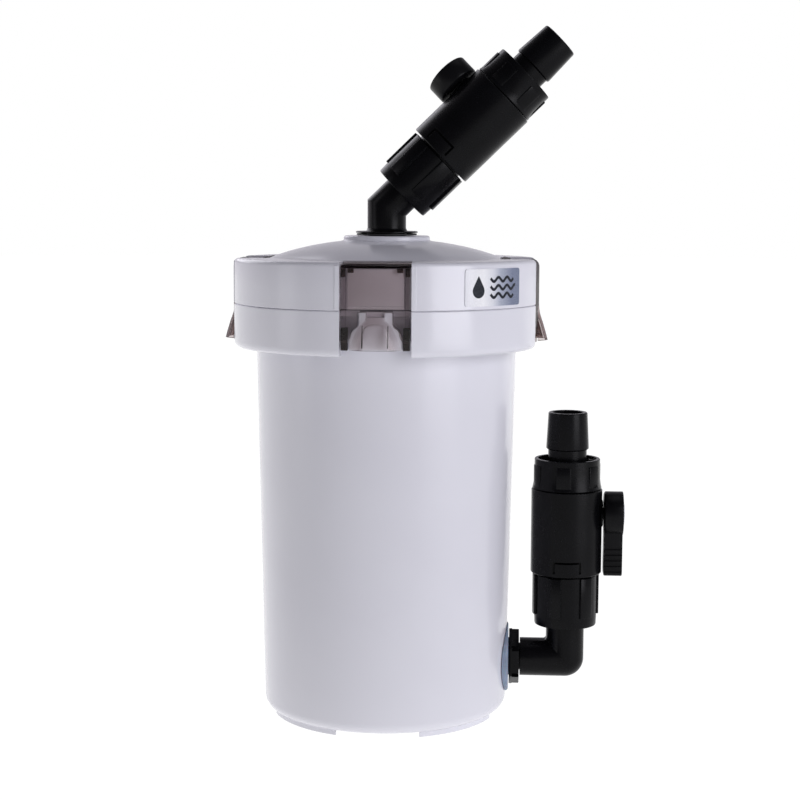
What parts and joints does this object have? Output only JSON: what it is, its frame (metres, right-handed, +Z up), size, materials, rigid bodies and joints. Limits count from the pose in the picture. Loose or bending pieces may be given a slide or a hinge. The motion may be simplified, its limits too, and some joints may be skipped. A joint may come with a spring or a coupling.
{
  "type": "canister filter",
  "caption": "Round white canister filter with a clamp-down domed lid, over-rim latches, and an elbow with a quick-release ball valve and hose tail on the lid and low on one side.",
  "frame": {"origin": "centre of the flat underside of the base, which stands 2 mm above the floor on its feet", "axes": "+Z up along the canister's axis, +X towards the inlet elbow, -Y towards the front latch"},
  "size_m": [0.1717, 0.1376, 0.293],
  "materials": {
    "white_plastic": "glossy, very slight mould texture",
    "ball_plastic": "polished",
    "smoke_plastic": "see-through smoky brown-grey, polished",
    "steel": "drawn wire",
    "black_rubber": "matt",
    "blue_grey_rubber": "half-clear silicone",
    "foil": "satin foil with a silver to blue-grey blend",
    "cap_grey": "satin",
    "white_ptfe": "smooth",
    "basket_grey": "satin",
    "blue_sponge": "open-cell foam",
    "white_floss": "loose fibre",
    "ceramic_net": "net bag of ceramic rings",
    "carbon_net": "net bag of carbon grains",
    "black_plastic": "fine satin mould texture"
  },
  "bodies": {
    "canister": {"canister_barrel": "white_plastic", "inlet_gasket": "blue_grey_rubber", "inlet_bulkhead": "black_plastic", "inlet_bulkhead_nut": "black_plastic", "lower_media_basket": "basket_grey", "upper_media_basket": "basket_grey", "basket_cover": "basket_grey", "coarse_sponge": "blue_sponge", "ceramic_ring_bag": "ceramic_net", "activated_carbon_bag": "carbon_net", "fine_floss_pad": "white_floss"},
    "lid": {"lid_cover": "white_plastic", "lid_seal_ring": "black_rubber", "lid_badge": "foil", "outlet_gasket": "black_rubber", "latch_pin_front": "steel", "latch_pin_right": "steel", "latch_pin_back": "steel", "latch_pin_left": "steel"},
    "front_latch": {"latch_front": "smoke_plastic"},
    "right_latch": {"latch_right": "smoke_plastic"},
    "back_latch": {"latch_back": "smoke_plastic"},
    "left_latch": {"latch_left": "smoke_plastic"},
    "outlet_bend": {"outlet_elbow": "black_plastic", "outlet_lock_nut": "black_plastic"},
    "outlet_nut": {"outlet_union_nut": "black_plastic"},
    "outlet_valve": {"outlet_valve_body": "black_plastic", "outlet_union_washer": "black_rubber", "outlet_lower_seat": "white_ptfe", "outlet_upper_seat": "white_ptfe", "outlet_stem_seal": "black_rubber", "outlet_hose_tail": "black_plastic"},
    "outlet_ring": {"outlet_lock_ring": "black_plastic"},
    "outlet_tap": {"outlet_ball": "ball_plastic", "outlet_stem": "black_plastic", "outlet_knob": "black_plastic", "outlet_knob_cap": "cap_grey"},
    "inlet_bend": {"inlet_elbow": "black_plastic", "inlet_swivel_seal": "black_rubber"},
    "inlet_nut": {"inlet_union_nut": "black_plastic"},
    "inlet_valve": {"inlet_valve_body": "black_plastic", "inlet_union_washer": "black_rubber", "inlet_lower_seat": "white_ptfe", "inlet_upper_seat": "white_ptfe", "inlet_stem_seal": "black_rubber", "inlet_hose_tail": "black_plastic"},
    "inlet_ring": {"inlet_lock_ring": "black_plastic"},
    "inlet_tap": {"inlet_ball": "ball_plastic", "inlet_stem": "black_plastic", "inlet_knob": "black_plastic", "inlet_knob_cap": "cap_grey"},
    "basket_bail": {"basket_handle": "basket_grey"}
  },
  "joints": [
    {"name": "lid_lift", "type": "slide", "parent": "canister", "child": "lid", "axis": [0, 0, 1], "range_m": [0, 0.21]},
    {"name": "front_latch_swing", "type": "hinge", "parent": "lid", "child": "front_latch", "pos_m": [0, -0.0504, 0.1926], "axis": [-1, 0, 0], "range_deg": [0, 100]},
    {"name": "right_latch_swing", "type": "hinge", "parent": "lid", "child": "right_latch", "pos_m": [0.0504, 0, 0.1926], "axis": [0, -1, 0], "range_deg": [0, 100]},
    {"name": "back_latch_swing", "type": "hinge", "parent": "lid", "child": "back_latch", "pos_m": [0, 0.0504, 0.1926], "axis": [1, 0, 0], "range_deg": [0, 100]},
    {"name": "left_latch_swing", "type": "hinge", "parent": "lid", "child": "left_latch", "pos_m": [-0.0504, 0, 0.1926], "axis": [0, 1, 0], "range_deg": [0, 100]},
    {"name": "outlet_elbow_turn", "type": "hinge", "parent": "lid", "child": "outlet_bend", "pos_m": [0, 0, 0.215], "axis": [0, 0, 1], "continuous": true},
    {"name": "outlet_nut_turn", "type": "hinge", "parent": "outlet_bend", "child": "outlet_nut", "pos_m": [0.00626, 0, 0.22104], "axis": [0.7193, 0, 0.6947], "range_deg": [0, 540]},
    {"name": "outlet_valve_turn", "type": "hinge", "parent": "outlet_bend", "child": "outlet_valve", "pos_m": [0.00626, 0, 0.22104], "axis": [0.7193, 0, 0.6947], "continuous": true},
    {"name": "outlet_ring_turn", "type": "hinge", "parent": "outlet_valve", "child": "outlet_ring", "pos_m": [0.04892, 0, 0.26224], "axis": [0.7193, 0, 0.6947], "range_deg": [0, 540]},
    {"name": "outlet_knob_turn", "type": "hinge", "parent": "outlet_valve", "child": "outlet_tap", "pos_m": [0.04107, 0, 0.25466], "axis": [-0.6719, 0.2538, 0.6958], "range_deg": [0, 90]},
    {"name": "inlet_elbow_turn", "type": "hinge", "parent": "canister", "child": "inlet_bend", "pos_m": [0.0586, 0, 0.0211], "axis": [1, 0, 0], "range_deg": [-90, 90]},
    {"name": "inlet_nut_turn", "type": "hinge", "parent": "inlet_bend", "child": "inlet_nut", "pos_m": [0.078, 0, 0.0363], "axis": [0, 0, 1], "range_deg": [0, 540]},
    {"name": "inlet_valve_turn", "type": "hinge", "parent": "inlet_bend", "child": "inlet_valve", "pos_m": [0.078, 0, 0.0363], "axis": [0, 0, 1], "range_deg": [-120, 120]},
    {"name": "inlet_ring_turn", "type": "hinge", "parent": "inlet_valve", "child": "inlet_ring", "pos_m": [0.078, 0, 0.0956], "axis": [0, 0, 1], "range_deg": [0, 540]},
    {"name": "inlet_knob_turn", "type": "hinge", "parent": "inlet_valve", "child": "inlet_tap", "pos_m": [0.078, 0, 0.0847], "axis": [1, 0, 0], "range_deg": [-90, 0]},
    {"name": "basket_bail_swing", "type": "hinge", "parent": "canister", "child": "basket_bail", "pos_m": [0, -0.009, 0.1699], "axis": [1, 0, 0], "range_deg": [0, 90]}
  ]
}
